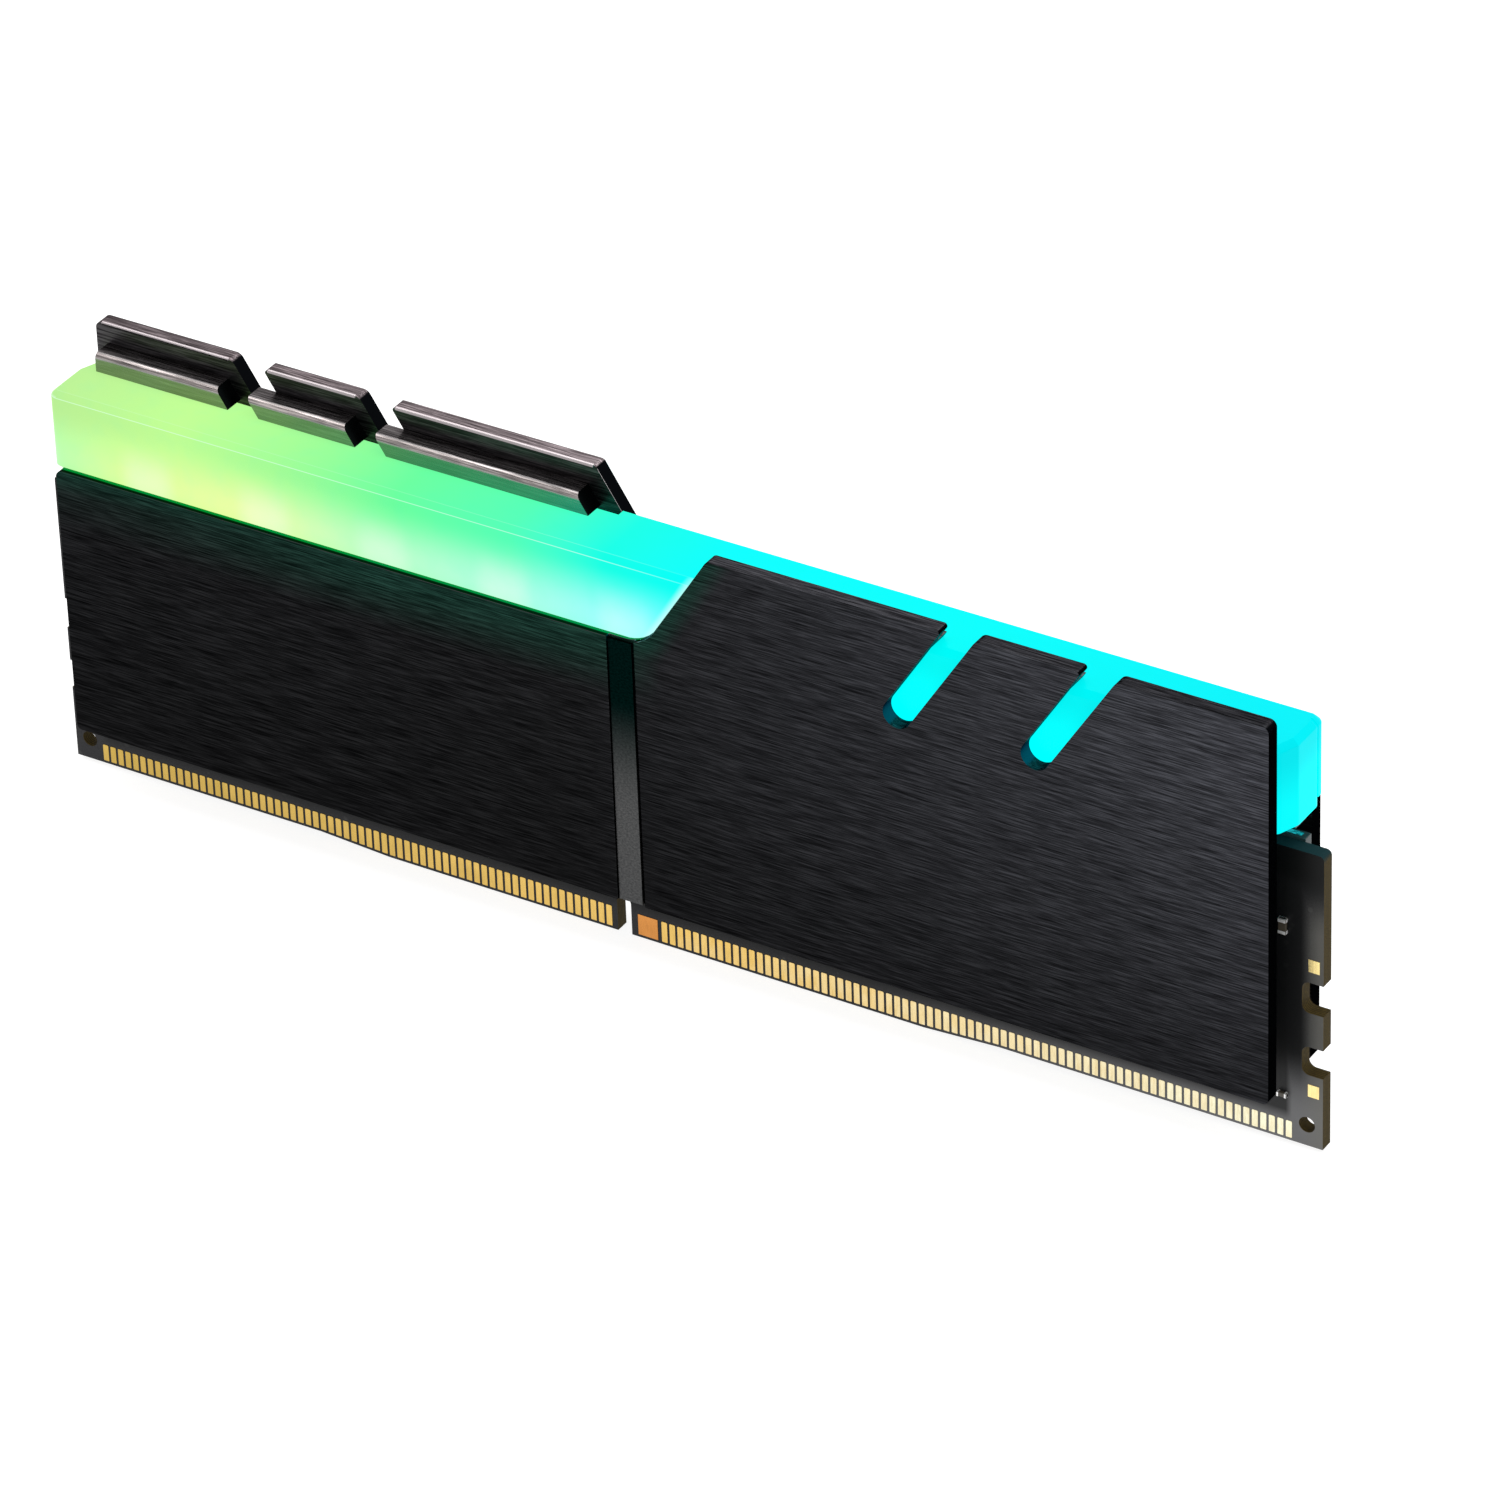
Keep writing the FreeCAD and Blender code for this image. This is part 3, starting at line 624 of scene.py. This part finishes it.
def make_rails(side, half, floor, top, inner, face):
    """The rail in three lengths, parted by two gaps."""
    rails = bmesh.new()
    walls = [(RAIL_START, SLANT)]
    for foot in SLOT_FEET[side]:
        gap = foot + RAIL_SHIFT[side]
        walls += [(slot_side(gap, -1, floor), SLANT), (slot_side(gap, 1, floor), SLANT)]
    walls.append((half - RAIL_INSET, 0.0))
    for ends in zip(walls[0::2], walls[1::2]):
        rail_piece(rails, ends, floor, top, inner, face)
    return rails


def make_plate(side, half, floor, top, outer, inner):
    """The plate, its strip channel cut out and its edges rounded, the rear one's inner top edge most."""
    blank = bmesh.new()
    prism(blank, rounded(plate_corners(side, half, floor, top), 14), -outer, -inner)
    cutter = bmesh.new()
    block(cutter, (STRIP_LEFT, -outer - 1, floor - 1),
          (CHANNEL_RIGHT, -outer + CHANNEL_DEPTH, LOW_TOP + 1))
    plate = cut(blank, cutter)
    if side == "rear":
        soften(plate, 0.28, 3, lambda edge: min(v.co.z for v in edge.verts) > top - 0.01
               and min(v.co.y for v in edge.verts) > -inner - 0.01)
    soften(plate, 0.11, 2, lambda edge: edge.calc_length() > 0.3)
    return plate


def make_spreader(side, plate_paint, rail_paint):
    """One spreader, drawn as the front one; the rear one is then turned round."""
    node = f"heatspreader_{side}"
    low, high = box_mm(node)
    half, floor, top = high.x, low.z, high.z
    outer = max(-low.y, high.y)
    inner = outer - PLATE_THICK
    rail_inner = high.y if side == "front" else -low.y
    rail_floor = box_mm("light_bar")[1].z
    plate = make_plate(side, half, floor, top, outer, inner)
    rails = make_rails(side, half, rail_floor, top - RAIL_DROP, rail_inner, -inner - RAIL_OVERLAP)
    mark(rails, 1)
    join(plate, rails)
    if side == "rear":
        turned(plate)
    return add_piece(f"{side}_spreader", plate, [plate_paint, rail_paint], "spreader", node)


def make_strip(side, paint):
    node = f"accent_strip_{side}"
    low, high = box_mm(node)
    strip = bmesh.new()
    block(strip, low, high)
    soften(strip, 0.07, 2)
    return add_piece(f"{side}_accent_strip", strip, [paint], "accent", node)


# ---------------------------------------------------------------- light bar

def step_wall(foot, z):
    """X of the spreader's step at a height: an arc at its foot, then the slanted line."""
    rise = z - LOW_TOP
    if rise < STEP_ROUND * (1 - SLANT / LEAN):
        centre = foot - STEP_ROUND * (LEAN - SLANT)
        return centre + math.sqrt(STEP_ROUND ** 2 - (STEP_ROUND - rise) ** 2)
    return foot + rise * SLANT


def make_ledge(foot, end, deep, back, rim):
    """The part of the bar that reaches out over a low half, from its rounded end to the step."""
    levels = []
    for z, inset in [(LOW_TOP + rise, 0.0) for rise in LEDGE_RISES] + rim:
        wall = step_wall(foot, z) - STEP_GAP
        corners = [(-end, -deep, BAR_CORNER), (wall, -deep, 0), (wall, -back, 0), (-end, -back, 0)]
        outline = rounded(corners, 12, inset)
        outline[-3].y += inset
        outline[-1].x += inset
        levels.append((z, outline))
    ledge = bmesh.new()
    stack(ledge, levels)
    return ledge


def make_bar(glow, lip_paint):
    """The diffuser, chamfered along its top, with its two ledges and its lip."""
    low, high = box_mm("light_bar")
    end, ledge_deep = high.x, high.y
    deep = ledge_deep - BAR_LEDGE
    floor = low.z + LIP_HEIGHT
    corners = [(-end, -deep, BAR_CORNER), (end - BAR_SHOULDER, -deep, SHOULDER_CORNER),
               (end, -deep + 2.5 * BAR_SHOULDER, SHOULDER_CORNER)]
    corners += [(-x, -y, radius) for x, y, radius in corners]
    rim = [(high.z - below, inset) for below, inset in BAR_RIM]
    bar = bmesh.new()
    foot_rim = [(floor, 0.12), (floor + 0.12, 0.0)]
    stack(bar, [(z, rounded(corners, 12, inset)) for z, inset in foot_rim + rim])
    for side, foot in STEP_FOOT.items():
        ledge = make_ledge(foot, end, ledge_deep, deep - rim[-1][1], rim)
        if side == "rear":
            turned(ledge)
        join(bar, ledge)

    lip = bmesh.new()
    reach = end - LIP_INSET
    block(lip, (-reach, LIP_FRONT, low.z), (reach, LIP_BACK, floor + LIP_OVERLAP))
    soften(lip, 0.15, 2)
    mark(lip, 1)
    join(bar, lip)
    return add_piece("glowing_bar", bar, [glow, lip_paint], "diffuser", "light_bar")


# ---------------------------------------------------------------- contacts and small parts

def make_contacts(side, paint):
    """One rounded plated pad for each solid of the node's row."""
    node = f"contacts_{side}"
    low, high = box_mm(node)
    half = CONTACT_WIDTH / 2
    pads = bmesh.new()
    places = [-OUTER_CONTACT + CONTACT_PITCH * step for step in range(LEFT_CONTACTS)]
    places += [OUTER_CONTACT - CONTACT_PITCH * step for step in range(RIGHT_CONTACTS)]
    for x in places:
        start, end = LEFT_RAMP if x < 0 else RIGHT_RAMP
        foot = low.z + EDGE_RISE * min(1.0, max(0.0, (abs(x) - start) / (end - start)))
        corners = [(x - half, foot, 0.06), (x + half, foot, 0.06), (x + half, high.z, 0.12),
                   (x - half, high.z, 0.12)]
        prism(pads, rounded(corners, 3), low.y, high.y)
    return add_piece(f"{side}_contacts", pads, [paint], "gold", node)


def make_lamp(number, shell, lens):
    """Light source on the board's top edge: a dark shell with a lens set in its top."""
    node = f"led_{number}"
    low, high = box_mm(node)
    lamp = bmesh.new()
    block(lamp, low, high)
    soften(lamp, 0.08, 2)
    dome = bmesh.new()
    block(dome, (low.x + 0.5, low.y + 0.25, high.z - 0.3), (high.x - 0.5, high.y - 0.2, high.z))
    soften(dome, 0.06, 2)
    mark(dome, 1)
    join(lamp, dome)
    return add_piece(f"lamp_{number}", lamp, [shell, lens], "light", node)


def decoupler_places():
    """Middle, foot, board face and size of each: three beside every chip, and two at the right end."""
    places = []
    for face in (-1, 1):
        for x in CHIP_CENTRES:
            beside = x + math.copysign(BESIDE_CHIP, x)
            places += [(beside, foot, face, SMALL_PART) for foot in DECOUPLER_FEET]
    return places + RIGHT_END_PARTS


def resistor_places():
    """Three upright resistors under every chip."""
    return [(x + shift, RESISTOR_FOOT, face, SMALL_PART) for face in (-1, 1) for x in CHIP_CENTRES
            for shift in RESISTOR_SHIFTS]


def make_small_parts(node, places, body_paint, cap_paint, slot):
    """Chip parts: a ceramic body between two plated end caps that stand a little proud of it."""
    parts = bmesh.new()
    for x, foot, face, (width, thick, height) in places:
        near = BOARD_FACE if face > 0 else -BOARD_FACE - thick
        low = Vector((x - width / 2, near, foot))
        high = Vector((x + width / 2, near + thick, foot + height))
        long_axis = 2 if height > width else 0
        cap = 0.25 * (high - low)[long_axis]
        inset = Vector([0.0 if axis == long_axis else 0.04 for axis in range(3)])
        before = len(parts.faces)
        block(parts, low + inset, high - inset)
        for shift in (0.0, (high - low)[long_axis] - cap):
            start = low.copy()
            start[long_axis] += shift
            end = high.copy()
            end[long_axis] = start[long_axis] + cap
            block(parts, start, end)
        parts.faces.ensure_lookup_table()
        for made in parts.faces[before + 6:]:
            made.material_index = 1
    soften(parts, 0.04, 2)
    return add_piece(f"{node}_detailed", parts, [body_paint, cap_paint], slot, node)


def make_pad(side, paint):
    """Soft thermal pad, squeezed between the chips and the spreader, so its edges bulge."""
    node = f"thermal_pad_{side}"
    low, high = box_mm(node)
    slab = bmesh.new()
    block(slab, low, high)
    soften(slab, 0.45, 4)
    return add_piece(f"{side}_thermal_pad", slab, [paint], "thermal_pad", node)


def soften_node(name, width, paint):
    """A carried-over CAD node: welded, slightly rounded if it has a width, and painted."""
    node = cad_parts[name]
    weld = node.modifiers.new("weld", "WELD")
    weld.merge_threshold = 0.002 * MM
    if width:
        rounding = node.modifiers.new("rounding", "BEVEL")
        rounding.width = width * MM
        rounding.segments = 2
        rounding.limit_method = "ANGLE"
        rounding.angle_limit = math.radians(30)
    paint_node(name, paint)


def paint_node(name, paint):
    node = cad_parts[name]
    for slot_number in range(len(node.material_slots)):
        node.material_slots[slot_number].material = paint


# ---------------------------------------------------------------- build

# The last three colours of each spreader are painted light: the top faces' painted highlight and the outer
# and inner bevels' painted highlights.
front_paint = make_anodised("front_paint", -1, STEP_FOOT["front"], (0.05, 0.05, 0.056),
                            (0.05, 0.05, 0.055), (0.3, 0.34, 0.3))
rear_paint = make_anodised("rear_paint", 1, STEP_FOOT["rear"], (0.24, 0.2, 0.21),
                           (0.12, 0.11, 0.115), (0.4, 0.36, 0.37))
rail_paint = make_rail_paint()
strip_paint = make_strip_paint()
glow_paint = make_glow()
lip_paint = make_lip_paint()
board_paint = make_board_paint()
gold_paint = make_gold("gold_paint", (0.55, 0.37, 0.08), (0.86, 0.57, 0.16), (1.0, 0.96, 0.7))
test_pad_paint = make_gold("test_pad_paint", (0.9, 0.62, 0.2), (0.95, 0.7, 0.25), (1.0, 0.8, 0.35))
copper_paint = make_gold("copper_paint", (0.5, 0.22, 0.05), (0.68, 0.28, 0.07), (0.85, 0.5, 0.2))
chip_paint = make_moulded("chip_paint", (0.03, 0.03, 0.032), 0.55)
capacitor_paint = make_moulded("capacitor_paint", (0.05, 0.042, 0.03), 0.4)
resistor_paint = make_moulded("resistor_paint", (0.02, 0.02, 0.02), 0.35)
cap_paint = make_solder("cap_paint")
pad_paint = make_moulded("pad_paint", (0.30, 0.33, 0.38), 0.7, 5.0)
shell_paint = make_moulded("shell_paint", (0.012, 0.03, 0.032), 0.4)
lens_paint = make_lens_paint()

for side, plate_paint in (("front", front_paint), ("rear", rear_paint)):
    make_spreader(side, plate_paint, rail_paint)
    make_strip(side, strip_paint)
    make_contacts(side, gold_paint)
    make_pad(side, pad_paint)
make_bar(glow_paint, lip_paint)
for number in range(1, 11):
    make_lamp(number, shell_paint, lens_paint)
make_small_parts("decoupling_capacitors", decoupler_places(), capacitor_paint, cap_paint, "capacitor")
make_small_parts("series_resistors", resistor_places(), resistor_paint, cap_paint, "resistor")
paint_node("pcb", board_paint)
soften_node("copper_patch", 0, copper_paint)
soften_node("test_pads", 0, test_pad_paint)
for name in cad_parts:
    if name.startswith("dram") or name in ("spd_eeprom", "led_controller"):
        soften_node(name, 0.08, chip_paint)

# ---------------------------------------------------------------- floor, light and camera

scene = bpy.context.scene
scene.view_settings.view_transform = "Standard"


def make_floor():
    mesh_data = bmesh.new()
    bmesh.ops.create_grid(mesh_data, x_segments=1, y_segments=1, size=4.0)
    mesh = bpy.data.meshes.new("floor")
    mesh_data.to_mesh(mesh)
    mesh_data.free()
    paint = Paint("floor_paint", Roughness=0.8, Specular_IOR_Level=0.2, Emission_Strength=0.85)
    drift = paint.noise((0.01, 0.01, 0.01))
    pale = paint.ramp(drift, [(0.3, (0.96, 0.96, 0.96)), (0.7, (0.98, 0.98, 0.98))])
    paint.feed("Emission Color", pale)
    paint.feed("Base Color", paint.mix(0.7, pale, (0.0, 0.0, 0.0)))
    mesh.materials.append(paint.material)
    floor = bpy.data.objects.new("floor", mesh)
    scene.collection.objects.link(floor)


def add_light(name, place, aim, size, power):
    """Soft rectangular light at a place in metres, pointed at another place."""
    data = bpy.data.lights.new(name, "AREA")
    data.shape = "RECTANGLE"
    data.size, data.size_y = size
    data.energy = power
    light = bpy.data.objects.new(name, data)
    light.location = place
    light.rotation_euler = (Vector(aim) - Vector(place)).to_track_quat("-Z", "Y").to_euler()
    scene.collection.objects.link(light)


def make_camera():
    data = bpy.data.cameras.new("camera")
    data.sensor_width = 36.0
    data.lens = 210.25
    data.clip_start = 0.01
    camera = bpy.data.objects.new("camera", data)
    camera.location = (0.36169, -0.55456, 0.44839)
    camera.rotation_euler = Euler([math.radians(angle) for angle in (57.131, 1.755, 31.380)])
    scene.collection.objects.link(camera)
    scene.camera = camera


make_floor()
add_light("overhead", (0.0, 0.1, 0.9), (0, 0, 0), (1.2, 0.8), 9.0)
add_light("right_front", (0.7, -0.8, 0.5), (0, 0, 0.02), (0.5, 0.5), 4.0)
make_camera()
world = bpy.data.worlds.new("studio")
world.use_nodes = True
world.node_tree.nodes["Background"].inputs["Color"].default_value = (1.0, 1.0, 1.0, 1.0)
world.node_tree.nodes["Background"].inputs["Strength"].default_value = 0.85
scene.world = world
